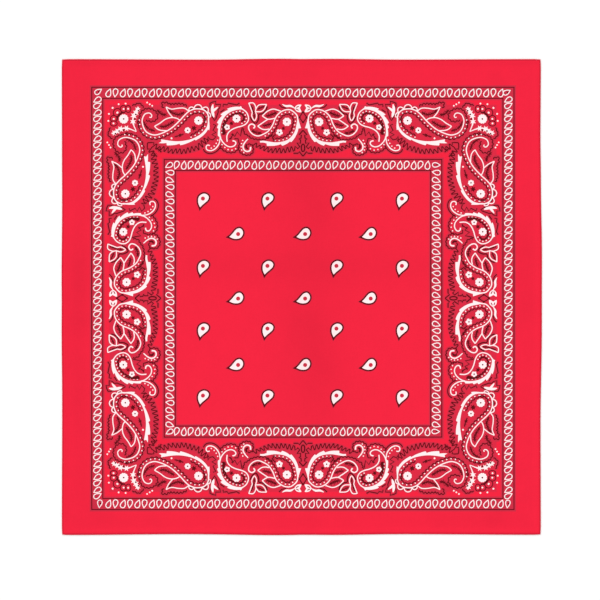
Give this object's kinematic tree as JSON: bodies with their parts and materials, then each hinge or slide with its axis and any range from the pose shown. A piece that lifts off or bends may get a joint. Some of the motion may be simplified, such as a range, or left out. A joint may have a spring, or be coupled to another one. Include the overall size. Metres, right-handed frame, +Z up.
{
  "type": "bandana",
  "caption": "Square woven cotton bandana laid flat, with narrow rolled hems, a paisley border, chain frames and a field of drops.",
  "frame": {"origin": "under the middle of the cloth's box, on the surface that it lies on", "axes": "+Z up out of the printed face, +Y towards the top hem, +X towards the right hem"},
  "size_m": [0.5618, 0.5571, 0.002],
  "materials": {
    "cotton": "plain weave, printed, matte",
    "hem_cotton": "plain weave, turned twice and pressed",
    "white_print": "undyed cotton showing through the print, matte",
    "black_print": "black dye in the weave, matte",
    "thread": "cotton sewing thread"
  },
  "bodies": {
    "root": {"panel": "cotton", "hem_top": "hem_cotton", "hem_bottom": "hem_cotton", "hem_left": "hem_cotton", "hem_right": "hem_cotton"}
  },
  "joints": []
}
